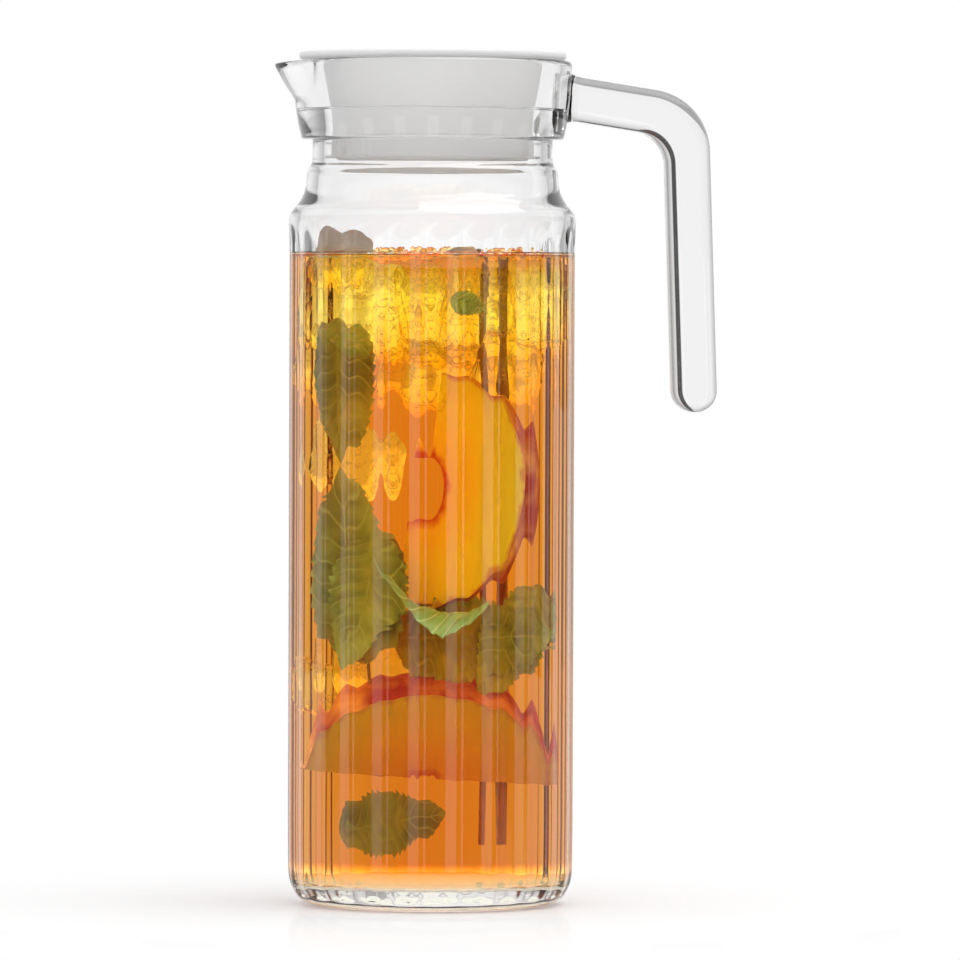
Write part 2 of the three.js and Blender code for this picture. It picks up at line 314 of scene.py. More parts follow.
def describe(obj):
    count = sum(len(face.vertices) - 2 for face in obj.data.polygons)
    print(obj.name, "triangles", count, "size mm", [round(side * 1000, 1) for side in obj.dimensions])


# %% [markdown]
# ## Materials
# Clear soda-lime glass bends light with an index of 1.5. The lid is milky polyethylene, which lets light
# through and scatters it. The drink is a clear amber tea that absorbs blue first. Where the tea touches
# glass or ice there is almost no mirror, because their indexes are close, so wetted faces have a finish of
# their own.

# %% Material tools
CLEAR = (1.0, 1.0, 1.0)
NO_MIRROR = (0.0, 0.0, 0.0, 1.0)
GLASS_INDEX, WATER_INDEX, ICE_INDEX = 1.5, 1.333, 1.31


def principled(name, colour, roughness, **inputs):
    material = bpy.data.materials.new(name)
    material.use_nodes = True
    shader = material.node_tree.nodes["Principled BSDF"]
    shader.inputs["Base Color"].default_value = (*colour, 1.0)
    shader.inputs["Roughness"].default_value = roughness
    for key, value in inputs.items():
        shader.inputs[key.replace("_", " ")].default_value = value
    return material


def bare_material(name):
    """A material with no shader yet."""
    material = bpy.data.materials.new(name)
    material.use_nodes = True
    material.node_tree.nodes.remove(material.node_tree.nodes["Principled BSDF"])
    return material


def clear_material(name, index, colour=CLEAR, roughness=0.0, **inputs):
    return principled(name, colour, roughness, IOR=index, Transmission_Weight=1.0, **inputs)


def shader_of(material):
    return Value(material.node_tree, material.node_tree.nodes["Principled BSDF"].outputs[0])


def show(material, shader, slot="Surface"):
    """Sends a shader to the material's output."""
    tree = material.node_tree
    tree.links.new(shader.socket, tree.nodes["Material Output"].inputs[slot])


def show_colour(material, colour):
    tree = material.node_tree
    tree.links.new(colour.socket, tree.nodes["Principled BSDF"].inputs["Base Color"])


def blend(share, first, second):
    """The first shader where the share is 0, and the second where it is 1."""
    return value_of(first.tree, "ShaderNodeMixShader", {"Fac": share, 1: first, 2: second})


def blend_colours(share, first, second):
    inputs = {0: share, 6: first, 7: (*second, 1.0)}
    return value_of(first.tree, "ShaderNodeMix", inputs, 2, data_type="RGBA")


def colour_stops(value, *stops):
    """Colours along a value, each given with its position."""
    node = new_node(value.tree, "ShaderNodeValToRGB", {"Fac": value})
    ready = node.color_ramp.elements
    for i, (position, colour) in enumerate(stops):
        stop = ready[i] if i < 2 else ready.new(position)
        stop.position = position
        stop.color = (*colour, 1.0)
    return Value(value.tree, node.outputs["Color"])


def speckle(tree, scale, detail):
    """Noise in the object's own coordinates."""
    place = value_of(tree, "ShaderNodeTexCoord", output="Object")
    inputs = {"Vector": place, "Scale": scale, "Detail": detail}
    return value_of(tree, "ShaderNodeTexNoise", inputs, "Fac")


def mesh_mark(tree, name, output):
    """A value that the mesh carries."""
    return value_of(tree, "ShaderNodeAttribute", output=output, attribute_name=name)


# %% Clear materials
glass = clear_material("clear_glass", GLASS_INDEX)
wet_glass = clear_material("wet_glass", GLASS_INDEX, Specular_Tint=NO_MIRROR)
foot_glass = clear_material("stippled_foot", GLASS_INDEX, roughness=0.35)
ice_clear = clear_material("clear_ice", ICE_INDEX, roughness=0.03)
wet_ice = clear_material("wet_ice", 1.015, (1.0, 0.93, 0.42))
foam_amber = clear_material("amber_foam", 1.33, (1.0, 0.78, 0.35))


def glow_through(material, colour, share):
    """Lets a share of the surface scatter light from behind it and from in front."""
    tree = material.node_tree
    behind_face = value_of(tree, "ShaderNodeBsdfTranslucent", {"Color": (*colour, 1.0)})
    in_front = value_of(tree, "ShaderNodeBsdfDiffuse", {"Color": (*colour, 1.0)})
    show(material, blend(share, shader_of(material), blend(0.4, behind_face, in_front)))


def cracks_and_clouds(material):
    """How frosted ice is: thin winding cracks, and faint clouds between them."""
    tree = material.node_tree
    place = value_of(tree, "ShaderNodeTexCoord", output="Object")
    inputs = {"Vector": place, "Scale": 110.0, "Detail": 4.0, "Roughness": 0.6}
    cloud = values_of(tree, "ShaderNodeTexNoise", inputs)
    winding = place.vector("ADD", cloud["Color"].vector("MULTIPLY", (0.02, 0.02, 0.02)))
    inputs = {"Vector": winding, "Scale": 95.0}
    to_edge = value_of(tree, "ShaderNodeTexVoronoi", inputs, "Distance", feature="DISTANCE_TO_EDGE")
    crack = to_edge.ramp(0.035, 0.012) * cloud["Fac"].ramp(0.40, 0.55)
    return crack * 0.5 + cloud["Fac"].ramp(0.45, 0.75) * 0.04


glow_through(foot_glass, CLEAR, 0.45)
glow_through(wet_ice, (1.0, 0.74, 0.18), cracks_and_clouds(wet_ice))
glow_through(ice_clear, (0.70, 0.63, 0.55), 0.55)

# %% [markdown]
# The tea is one material, because what it absorbs belongs to the whole body of liquid. A value on each face
# tells its surfaces apart: 0 where it is open or lies on the floor, 1 along the glass, and 2 along the ice.


# %% Tea and plastic
def tea_material():
    material = clear_material("amber_tea", WATER_INDEX)
    tree = material.node_tree
    inputs = {"Color": (0.98, 0.72, 0.0, 1.0), "Density": 64.0}
    show(material, value_of(tree, "ShaderNodeVolumeAbsorption", inputs), "Volume")
    clear = {"Base Color": (*CLEAR, 1.0), "Roughness": 0.0, "Transmission Weight": 1.0}
    inputs = {**clear, "IOR": WATER_INDEX, "Specular Tint": NO_MIRROR}
    at_glass = value_of(tree, "ShaderNodeBsdfPrincipled", inputs)
    at_ice = value_of(tree, "ShaderNodeBsdfPrincipled", {**clear, "IOR": 1.0})
    face = mesh_mark(tree, "tea_face", "Fac")
    outer = blend(face.math("MINIMUM", 1.0), shader_of(material), at_glass)
    show(material, blend((face - 1.0).math("MAXIMUM", 0.0), outer, at_ice))
    return material


amber_tea = tea_material()
milky = principled("milky_plastic", (0.93, 0.93, 0.93), 0.38, IOR=1.45)
veil = value_of(milky.node_tree, "ShaderNodeBsdfTranslucent", {"Color": (0.95, 0.95, 0.95, 1.0)})
show(milky, blend(0.45, shader_of(milky), veil))
print("materials", [material.name for material in bpy.data.materials])

# %% [markdown]
# ## The turning tree
# Most of the carafe is turned about one axis, so one Geometry Nodes tree makes it from an outline. It
# scoops the flutes out of the side and draws the pour lip out of the collar by rule, so one number changes
# them all.

# %% Turning tree
PLAIN_ROUND = {
    "Flutes": 1.0, "Ridge Radius": 1.0, "Flute Depth": 0.0, "Ridge Softness": 0.1, "Flute Top": 1.0,
    "Flute Fade": 1.0, "Lip Reach": 0.0, "Lip Angle": 1.0, "Groove Angle": 1.0, "Rim Bore": 0.5,
    "Rim Radius": 1.0, "Lip Bottom": 0.0, "Lip Top": 1.0, "Lip Droop": 0.0,
}


def build_turning_tree():
    tree, given = start_tree("turned_and_fluted", PLAIN_ROUND, ["Columns"])
    outline, columns, softness = given["Geometry"], given["Columns"], given["Ridge Softness"]
    count = value_of(tree, "GeometryNodeAttributeDomainSize", {"Geometry": outline}, "Point Count")
    around = columns + 1.0
    grid = value_of(tree, "GeometryNodeMeshGrid", {"Vertices X": count, "Vertices Y": around})
    index = value_of(tree, "GeometryNodeInputIndex")
    row = ((index + 0.5) / around).math("FLOOR")
    column = index - row * around
    position = value_of(tree, "GeometryNodeInputPosition")
    inputs = {"Geometry": outline, "Value": position, "Index": row}
    sample = value_of(tree, "GeometryNodeSampleIndex", inputs, "Value", data_type="FLOAT_VECTOR")
    place = values_of(tree, "ShaderNodeSeparateXYZ", {"Vector": sample})
    turn = column / columns
    angle = turn * (2 * math.pi)

    # A flute is a parabola across, with its ridges rounded off
    across = (turn * given["Flutes"] + 0.5).math("FRACT")
    side = abs(across * 2.0 - 1.0)
    over = (side - (1.0 - softness)).math("MAXIMUM", 0.0)
    scoop = (1.0 - side * side) + over * over / softness
    full_from = given["Flute Top"] - given["Flute Fade"]
    depth = scoop * given["Flute Depth"] * place["Z"].ramp(given["Flute Top"], full_from)

    # The flutes run on into the round of the foot
    at_corner = place["X"].ramp(FOOT_FLUTE_FROM * MM, FOOT_FLUTE_FULL * MM)
    at_corner = at_corner * place["Z"].ramp((FOOT_EDGE + FOOT_FLUTE_FADE) * MM, FOOT_EDGE * MM)
    cut_in = place["X"] - depth * at_corner
    radius = cut_in.math("SMOOTH_MIN", given["Ridge Radius"] - depth, FLUTE_BLEND * MM)

    # The lip is drawn out opposite the handle, over a wider angle outside than in its groove
    away = abs(angle - math.pi)
    outside = place["X"].ramp(given["Rim Bore"], given["Rim Radius"], "LINEAR")
    half_angle = given["Groove Angle"] + (given["Lip Angle"] - given["Groove Angle"]) * outside
    rise = place["Z"].ramp(given["Lip Bottom"], given["Lip Top"], "LINEAR")
    share = away.ramp(half_angle, 0.0) * rise
    radius = radius + share * given["Lip Reach"]
    height = place["Z"] - share * given["Lip Droop"]
    inputs = {"X": radius * angle.math("COSINE"), "Y": radius * angle.math("SINE"), "Z": height}
    shaped = placed(grid, Position=value_of(tree, "ShaderNodeCombineXYZ", inputs))
    return end_tree(tree, merged(shaped, 1e-6), given)


turning_tree = build_turning_tree()


def turned(name, outline, columns, material, rule=None):
    """A piece turned from an outline. Without a rule it is plainly round."""
    values = {"Columns": columns, "Material": material, **PLAIN_ROUND, **(rule or {})}
    corners = [(r * MM, 0.0, z * MM) for r, z in outline.points]
    return use_tree(mesh_object(name, corners), turning_tree, values)


print("turning tree nodes", len(turning_tree.nodes))

# %% [markdown]
# ## The glass
# The body is pressed and blown in one piece: a thick foot, a fluted side, an ogee shoulder with a bead, a
# neck and a heavy collar whose inside steps to a ledge. The outline goes up the outside and down the bore.

# %% Glass body
glass_outline = (
    Outline(0, 0)
    .line(FOOT_RADIUS, 0, 6)
    .corner(14, RIDGE, 0, RIDGE, FOOT_EDGE)
    .line(RIDGE, SIDE_TOP - FLUTE_FADE, 14)
    .line(RIDGE, SIDE_TOP, 9)
    .ogee(26, BEAD_RADIUS, BEAD_Z, *SHOULDER_EASE)
    .ogee(10, NECK_RADIUS, NECK_Z, *BEAD_EASE)
    .line(NECK_RADIUS, COLLAR_Z - COLLAR_FILLET, 2)
    .corner(4, NECK_RADIUS, COLLAR_Z, NECK_RADIUS + COLLAR_FILLET, COLLAR_Z)
    .line(COLLAR_RADIUS - COLLAR_EDGE, COLLAR_Z, 2)
    .corner(6, COLLAR_RADIUS, COLLAR_Z, COLLAR_RADIUS, COLLAR_Z + COLLAR_EDGE)
    .corner(16, RIM_RADIUS, COLLAR_Z + COLLAR_SWELL, RIM_RADIUS, RIM_Z - RIM_EDGE)
    .corner(7, RIM_RADIUS, RIM_Z, RIM_RADIUS - RIM_EDGE, RIM_Z)
    .corner(7, RIM_BORE, RIM_Z, RIM_BORE, RIM_Z - RIM_EDGE)
    .line(LEDGE_RADIUS, LEDGE_Z + LEDGE_EDGE, 8)
    .corner(4, LEDGE_RADIUS, LEDGE_Z, LEDGE_RADIUS - LEDGE_EDGE, LEDGE_Z)
    .line(NECK_BORE + LEDGE_EDGE, LEDGE_Z, 2)
    .corner(4, NECK_BORE, LEDGE_Z, NECK_BORE, LEDGE_Z - LEDGE_EDGE)
    .line(NECK_BORE, NECK_Z - BORE_DROP, 6)
    .ogee(10, BEAD_RADIUS - WALL, BEAD_Z - BORE_DROP, *downwards(BEAD_EASE))
    .ogee(26, BORE, SIDE_TOP, *downwards(SHOULDER_EASE))
    .line(BORE, FLOOR + FLOOR_EDGE, 14)
    .corner(12, BORE, FLOOR, BORE - FLOOR_EDGE, FLOOR)
    .corner(10, (BORE - FLOOR_EDGE) / 2, DOME, 0, DOME)
)
flutes_and_lip = {
    "Flutes": float(FLUTES), "Ridge Radius": RIDGE * MM, "Flute Depth": FLUTE_DEPTH * MM,
    "Ridge Softness": RIDGE_SOFTNESS, "Flute Top": (SIDE_TOP + 1.0) * MM, "Flute Fade": FLUTE_FADE * MM,
    "Lip Reach": LIP_REACH * MM, "Lip Angle": math.radians(LIP_ANGLE),
    "Groove Angle": math.radians(GROOVE_ANGLE), "Rim Bore": RIM_BORE * MM, "Rim Radius": RIM_RADIUS * MM,
    "Lip Bottom": (RIM_Z - LIP_DEPTH) * MM, "Lip Top": RIM_Z * MM, "Lip Droop": LIP_DROOP * MM,
}
carafe_glass = turned("carafe_glass", glass_outline, FLUTES * 16, glass, flutes_and_lip)
describe(carafe_glass)

# %% [markdown]
# ## The handle
# The hook is a solid bar with soft edges, swept along its two side lines: an arm that droops from the
# collar, a wide bend and a grip with a rounded end. Its root swells where the hot glass met the collar.


# %% Handle side lines
def arc(centre, radius, start, end, steps):
    angles = [math.radians(start + (end - start) * i / steps) for i in range(steps + 1)]
    return [(centre[0] + radius * math.cos(a), centre[1] + radius * math.sin(a)) for a in angles]


def arm_z(x):
    return RIM_Z - ARM_BELOW_RIM - (x - RIM_RADIUS) * ARM_SLOPE


ARM_HALF = HALF_WIDTH / math.cos(math.radians(ARM_DROOP))
MIDDLE_Z = arm_z(GRIP_X)
GRIP_END_Z = MIDDLE_Z - GRIP_LENGTH + HALF_WIDTH


def bend_centre(side, radius):
    """Centre of the bend on the inner (-1) or outer (1) side line, which touches the arm and the grip."""
    back = HALF_WIDTH * side - radius
    arm_reach = back / math.cos(math.radians(ARM_DROOP))
    grip_reach = back / math.cos(math.radians(GRIP_LEAN))
    x = GRIP_X + grip_reach
    for _ in range(20):
        z = arm_z(x) + arm_reach
        x = GRIP_X + grip_reach + (MIDDLE_Z - z) * LEAN
    return x, z


def side_line(side, radius):
    bend = arc(bend_centre(side, radius), radius, 90.0 - ARM_DROOP, GRIP_LEAN, 22)
    start = (ROOT_X, arm_z(ROOT_X) + side * ARM_HALF)
    end = (GRIP_X + side * HALF_WIDTH + (MIDDLE_Z - GRIP_END_Z) * LEAN, GRIP_END_Z)
    arm = [tuple(Vector(start).lerp(Vector(bend[0]), i / 24)) for i in range(24)]
    grip = [tuple(Vector(bend[-1]).lerp(Vector(end), i / 16)) for i in range(1, 17)]
    return arm + bend + grip


outer_line = side_line(1, BEND_OUTER)
inner_line = side_line(-1, BEND_INNER)
print("handle rings", len(outer_line), len(inner_line), "tip", [round(v, 1) for v in outer_line[-1]])


# %% Handle sweep
def soft_section(half_width, half_depth, edge, steps=8):
    """A rectangle with round corners, as pairs of (across the bar, along Y)."""
    points = []
    for sx, sy, start in ((1, 1, 0), (-1, 1, 90), (-1, -1, 180), (1, -1, 270)):
        for i in range(steps + 1):
            a = math.radians(start + 90 * i / steps)
            across = sx * (half_width - edge) + edge * math.cos(a)
            points.append((across, sy * (half_depth - edge) + edge * math.sin(a)))
    return points


def handle_rings():
    rings = []
    for inner, outer in zip(inner_line, outer_line):
        low, high = Vector(inner), Vector(outer)
        middle, across = (low + high) / 2, (high - low)
        swell = max(0.0, 1 - (middle.x - SWELL_FROM) / SWELL_LENGTH) ** 2 * SWELL
        section = soft_section(across.length / 2 + swell, HALF_DEPTH + swell, EDGE + swell * 0.5)
        rings.append((middle, across.normalized(), section))
    middle, across, _ = rings[-1]
    down = Vector((LEAN, -1.0)).normalized()
    for i in range(1, TIP_RINGS + 1):
        turn = math.radians(90 * i / TIP_SPREAD)
        along, width = HALF_WIDTH * math.sin(turn), HALF_WIDTH * math.cos(turn)
        late = max(0.0, along - (HALF_WIDTH - EDGE)) / EDGE
        depth = HALF_DEPTH - EDGE * (1 - math.sqrt(max(0.0, 1 - late * late)))
        section = soft_section(width, depth, min(EDGE, width * 0.98))
        rings.append((middle + down * along, across, section))
    return rings


def sweep_object(name, rings):
    """A closed bar through rings of equal point count, in the plane of the handle."""
    shape = bmesh.new()
    loops = []
    for middle, across, section in rings:
        loop = []
        for u, v in section:
            point = (middle.x + across.x * u, v, middle.y + across.y * u)
            loop.append(shape.verts.new([value * MM for value in point]))
        loops.append(loop)
    count = len(loops[0])
    for first, second in zip(loops, loops[1:]):
        for i in range(count):
            j = (i + 1) % count
            shape.faces.new((first[i], first[j], second[j], second[i]))
    shape.faces.new(loops[0])
    shape.faces.new(list(reversed(loops[-1])))
    bmesh.ops.remove_doubles(shape, verts=shape.verts, dist=1e-7)
    bmesh.ops.recalc_face_normals(shape, faces=shape.faces)
    return shape_object(name, shape)


handle_bar = sweep_object("handle_bar", handle_rings())
describe(handle_bar)

# %% [markdown]
# Body and handle were joined while hot, so here they are one closed glass skin. That also lets light pass
# from one to the other without a false surface between them.

# %% Join the glass
combine(carafe_glass, handle_bar, "UNION")
wear(carafe_glass, glass, wet_glass, foot_glass)
for polygon in carafe_glass.data.polygons:
    centre = polygon.center / MM
    wetted = math.hypot(centre.x, centre.y) < BORE + 0.1 and WET_FROM < centre.z < TEA_TOP
    polygon.material_index = 1 if wetted else 2 if centre.z < 0.01 else 0
smooth(carafe_glass, 42)
describe(carafe_glass)
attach(carafe_glass, "carafe")
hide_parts("carafe_body", "handle")

# %% [markdown]
# ## The lid
# The cap is one moulding: a thin flange on the rim, a tapered plug with a flat pour relief, and a spigot
# below. It is hollow from below and has a sunk finger grip on top. It is turned first and then cut.


# %% Cutters
def prism(name, points, bottom, top):
    """A straight block over an outline in X and Y."""
    count = len(points)
    corners = [(x * MM, y * MM, z * MM) for z in (bottom, top) for x, y in points]
    faces = [tuple(reversed(range(count))), tuple(range(count, 2 * count))]
    for i in range(count):
        j = (i + 1) % count
        faces.append((i, j, j + count, i + count))
    return mesh_object(name, corners, faces=faces)


def window_cutter(bearing, angle):
    """A slice of a disc at the windows' height, with its middle at a bearing from the pour lip's side."""
    start, axis = 180 + bearing - angle / 2, (0.0, 0.0)
    points = [axis] + arc(axis, WINDOW_REACH, start, start + angle, 12)
    return prism("cutter", points, WINDOW_BOTTOM, WINDOW_TOP)


def relief_cutter(inset):
    """The flat down the pour side, set back further by an inset for the hollow behind it."""
    top = FLANGE_Z - inset
    points = [
        (inset + RELIEF - PLUG_TOP_RADIUS, top), (inset + RELIEF - PLUG_RADIUS, TAPER_Z),
        (inset + RELIEF - PLUG_RADIUS, RING_TOP), (-CUT_REACH, RING_TOP), (-CUT_REACH, top),
    ]
    block = prism("relief", points, -CUT_REACH, CUT_REACH)
    block.data.transform(Matrix.Rotation(math.pi / 2, 4, "X"))
    return block


# %% Lid cap
cap_outline = (
    Outline(0, SPIGOT_BOTTOM)
    .line(SPIGOT_RADIUS, SPIGOT_BOTTOM)
    .line(SPIGOT_RADIUS + SNAP_STEP, SPIGOT_BOTTOM + SNAP_HEIGHT)
    .line(SPIGOT_RADIUS, SPIGOT_BOTTOM + SNAP_HEIGHT)
    .line(SPIGOT_RADIUS, PLUG_Z)
    .line(PLUG_RADIUS - SOFT_EDGE, PLUG_Z)
    .corner(3, PLUG_RADIUS, PLUG_Z, PLUG_RADIUS, PLUG_Z + SOFT_EDGE)
    .line(PLUG_RADIUS, TAPER_Z - TAPER_BEND)
    .corner(5, PLUG_RADIUS, TAPER_Z, PLUG_RADIUS + TAPER_STEP, TAPER_Z + TAPER_BEND)
    .line(PLUG_TOP_RADIUS - SOFT_EDGE, FLANGE_Z - FLANGE_FILLET)
    .corner(4, PLUG_TOP_RADIUS, FLANGE_Z, PLUG_TOP_RADIUS + FLANGE_FILLET, FLANGE_Z)
    .line(FLANGE_RADIUS - FLANGE_EDGE, FLANGE_Z)
    .corner(6, FLANGE_RADIUS, FLANGE_Z, FLANGE_RADIUS, FLANGE_Z + FLANGE_EDGE)
    .corner(6, FLANGE_RADIUS, LID_TOP, FLANGE_RADIUS - FLANGE_EDGE, LID_TOP)
    .line(WELL_RADIUS + WELL_EDGE, LID_TOP, 3)
    .corner(5, WELL_RADIUS, LID_TOP, WELL_RADIUS, LID_TOP - WELL_EDGE)
    .line(WELL_RADIUS, WELL_FLOOR + WELL_FILLET)
    .corner(6, WELL_RADIUS, WELL_FLOOR, WELL_RADIUS - WELL_FILLET, WELL_FLOOR)
    .line(0, WELL_FLOOR, 3)
)
hollow_outline = (
    Outline(0, SPIGOT_BOTTOM - PLUG_WALL)
    .line(SPIGOT_BORE, SPIGOT_BOTTOM - PLUG_WALL)
    .line(SPIGOT_BORE, PLUG_Z)
    .line(PLUG_RADIUS - PLUG_WALL, PLUG_Z + PLUG_WALL)
    .line(PLUG_RADIUS - PLUG_WALL, TAPER_Z)
    .line(PLUG_TOP_RADIUS - PLUG_WALL, FLANGE_Z - PLUG_WALL)
    .line(WELL_RADIUS + PLUG_WALL, FLANGE_Z - PLUG_WALL)
    .line(WELL_RADIUS + PLUG_WALL, WELL_FLOOR - PLUG_WALL)
    .line(0, WELL_FLOOR - PLUG_WALL)
)
lid_cap = turned("lid_cap_milky", cap_outline, LID_COLUMNS, milky)
lid_hollow = turned("lid_hollow", hollow_outline, LID_COLUMNS, milky)
combine(lid_hollow, relief_cutter(PLUG_WALL), "DIFFERENCE")
combine(lid_cap, relief_cutter(0.0), "DIFFERENCE")
combine(lid_cap, lid_hollow, "DIFFERENCE")
bar_x, bar_y = BAR_LENGTH / 2, BAR_WIDTH / 2
bar_corners = [(-bar_x, -bar_y), (bar_x, -bar_y), (bar_x, bar_y), (-bar_x, bar_y)]
combine(lid_cap, prism("grip_bar", bar_corners, BAR_BOTTOM, BAR_TOP), "UNION")
combine(lid_cap, window_cutter(0, 2 * WINDOW_PITCH), "DIFFERENCE")
wear(lid_cap, milky)
smooth(lid_cap, 30)
describe(lid_cap)
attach(lid_cap, "lid")
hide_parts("lid_cap")

# %% [markdown]
# The ring below the plug is a separate moulding with a row of windows on the pour side. The cap turns in
# it.

# %% Strainer ring
ring_outline = (
    Outline(RING_BORE, RING_BOTTOM)
    .line(HOOP_RADIUS - SOFT_EDGE, RING_BOTTOM)
    .corner(3, HOOP_RADIUS, RING_BOTTOM, HOOP_RADIUS, RING_BOTTOM + SOFT_EDGE)
    .line(HOOP_RADIUS, WINDOW_BOTTOM - SOFT_EDGE)
    .corner(3, HOOP_RADIUS, WINDOW_BOTTOM, HOOP_RADIUS - SOFT_EDGE, WINDOW_BOTTOM)
    .line(PLUG_RADIUS, WINDOW_BOTTOM)
    .line(PLUG_RADIUS, RING_TOP - SOFT_EDGE)
    .corner(3, PLUG_RADIUS, RING_TOP, PLUG_RADIUS - SOFT_EDGE, RING_TOP)
    .line(RING_BORE, RING_TOP)
    .line(RING_BORE, RING_BOTTOM)
)
strainer_ring = turned("strainer_ring_milky", ring_outline, LID_COLUMNS, milky)
for i in range(WINDOWS):
    bearing = (i - (WINDOWS - 1) / 2) * WINDOW_PITCH
    combine(strainer_ring, window_cutter(bearing, WINDOW_PITCH - RIB_ANGLE), "DIFFERENCE")
wear(strainer_ring, milky)
smooth(strainer_ring, 30)
describe(strainer_ring)
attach(strainer_ring, "strainer")
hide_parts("strainer_ring")

# %% [markdown]
# ## The drink
# Iced tea fills the bore up to a level under the shoulder, with ice at the top, peach slices and mint. Each
# is a piece of its own that rides on the glass, so the carafe can be shown empty too. Places are given as
# the camera sees them: across, towards the camera, and up.

# %% Places in the camera's directions
VIEW_TURN = math.radians(-5.0)
ACROSS = Vector((math.cos(VIEW_TURN), math.sin(VIEW_TURN), 0.0))
NEARER = Vector((math.sin(VIEW_TURN), -math.cos(VIEW_TURN), 0.0))
UP = Vector((0.0, 0.0, 1.0))
NEAR_GLASS, GLASS_GAP = 37.0, 0.3


def from_view(across, nearer, up):
    return ACROSS * across + NEARER * nearer + UP * up


def turned_to(along, facing):
    """A rotation that takes X to one direction and Z close to another, both as the camera sees them."""
    x = from_view(*along).normalized()
    z = from_view(*facing)
    z = (z - x * z.dot(x)).normalized()
    return Matrix((x, z.cross(x), z)).transposed()


def inside_bore(point):
    """A point, drawn in along its radius where it comes near the glass."""
    reach = math.hypot(point.x, point.y) / MM
    if reach < NEAR_GLASS:
        return point
    room = BORE - GLASS_GAP - NEAR_GLASS
    eased = NEAR_GLASS + room * (1 - math.exp((NEAR_GLASS - reach) / room))
    return Vector((point.x * eased / reach, point.y * eased / reach, point.z))


def pour_in(obj, angle):
    """A piece of the drink is shaded smooth, rides on the glass, and has to lie inside the bore."""
    smooth(obj, angle)
    reach = max(math.hypot(vert.co.x, vert.co.y) for vert in obj.data.vertices) / MM
    describe(obj)
    print(obj.name, "reach mm", round(reach, 1), "inside" if reach < BORE + 0.2 else "OUTSIDE THE BORE")
    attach(obj, "carafe")


# %% [markdown]
# Ice cubes melt to soft blocks with uneven faces. Each starts as a rounded cube and is pushed about by
# noise. Faces below the tea's level are wet ice. A few blocks have sunk among the leaves.


# %% Ice
def ice_block(name, size, spot, turn, seed):
    """A soft cube in millimetres, at a spot and turn as the camera sees them."""
    shape = bmesh.new()
    bmesh.ops.create_cube(shape, size=2.0)
    bmesh.ops.subdivide_edges(shape, edges=shape.edges, cuts=21, use_grid_fill=True)
    rotation = Euler([math.radians(a) for a in turn]).to_matrix()
    for vert in shape.verts:
        p = vert.co
        soft = p / (abs(p.x) ** 7 + abs(p.y) ** 7 + abs(p.z) ** 7) ** (1 / 7)
        rough = noise.noise(soft * 1.7 + Vector((seed, 0, 0))) * 0.10
        rough += noise.noise(soft * 5.0 + Vector((0, seed, 0))) * 0.03
        rough += noise.noise(soft * 13.0 + Vector((0, 0, seed))) * 0.014
        local = rotation @ (soft * (1 + rough) * (size / 2))
        vert.co = inside_bore(from_view(*(local + Vector(spot))) * MM)
    if shape.calc_volume(signed=True) < 0:
        bmesh.ops.reverse_faces(shape, faces=shape.faces)
    obj = shape_object(name, shape, ice_clear, wet_ice)
    for polygon in obj.data.polygons:
        polygon.material_index = 1 if polygon.center.z < TEA_TOP * MM else 0
    pour_in(obj, 60)
    return obj


ice_plan = [
    ("ice_left", 30, (-22.0, 10, 187.0), (12, 20, 28), 3.1),
    ("ice_middle", 29, (6.0, 22, 185.5), (20, -15, 12), 7.7),
    ("ice_right", 24, (27.0, 2, 188.0), (-10, 12, 40), 5.2),
    ("ice_low_right", 18, (21.0, 18, 167.5), (8, 25, 10), 9.4),
    ("ice_low_middle", 17, (-3.0, 16, 166.0), (28, 10, 50), 4.4),
    ("ice_low_left", 20, (-24.0, -7, 168.0), (15, 32, 8), 1.8),
    ("ice_behind", 28, (-10.0, -18, 185.0), (18, 8, 35), 2.6),
    ("ice_behind_right", 25, (17.0, -18, 186.0), (8, 28, 15), 8.2),
    ("ice_low_behind", 20, (4.0, -18, 164.0), (22, 5, 20), 5.9),
    ("ice_floating", 16, (-27.0, 17, 201.5), (25, 15, 5), 6.3),
    ("ice_sunk", 20, (-19.0, -2, 139.0), (14, 22, 30), 3.7),
    ("ice_sunk_low", 21, (-13.0, -12, 77.0), (24, 12, 18), 6.9),
    ("ice_sunk_left", 15, (-31.0, 1, 68.0), (10, 18, 42), 2.2),
]
ice_blocks = [ice_block(*plan) for plan in ice_plan]

# %% [markdown]
# The tea is turned like the glass. It runs a little into the glass wall and into the ice, so that light
# goes straight from one to the other as it does where they touch.

# %% Tea
OVERLAP, CLIMB, CLIMB_BEND, CLIMB_WIDTH = 0.12, 1.6, 1.0, 4.0
tea_outline = (
    Outline(0, DOME - OVERLAP)
    .corner(10, (BORE - FLOOR_EDGE) / 2, DOME - OVERLAP, BORE - FLOOR_EDGE, FLOOR - OVERLAP)
    .corner(12, BORE + OVERLAP, FLOOR - OVERLAP, BORE + OVERLAP, FLOOR + FLOOR_EDGE)
    .line(BORE + OVERLAP, TEA_TOP + CLIMB, 14)
    .corner(8, BORE - CLIMB_BEND, TEA_TOP, BORE - CLIMB_WIDTH, TEA_TOP)
    .line(0, TEA_TOP, 8)
)
tea = turned("tea", tea_outline, FLUTES * 8, amber_tea)
for block in ice_blocks:
    hole = new_object("ice_hole", block.data.copy())
    for vert, normal in zip(hole.data.vertices, [v.normal.copy() for v in hole.data.vertices]):
        vert.co -= normal * OVERLAP * MM
    combine(tea, hole, "DIFFERENCE")
wear(tea, amber_tea)
tea_face = tea.data.attributes.new("tea_face", "FLOAT", "FACE")
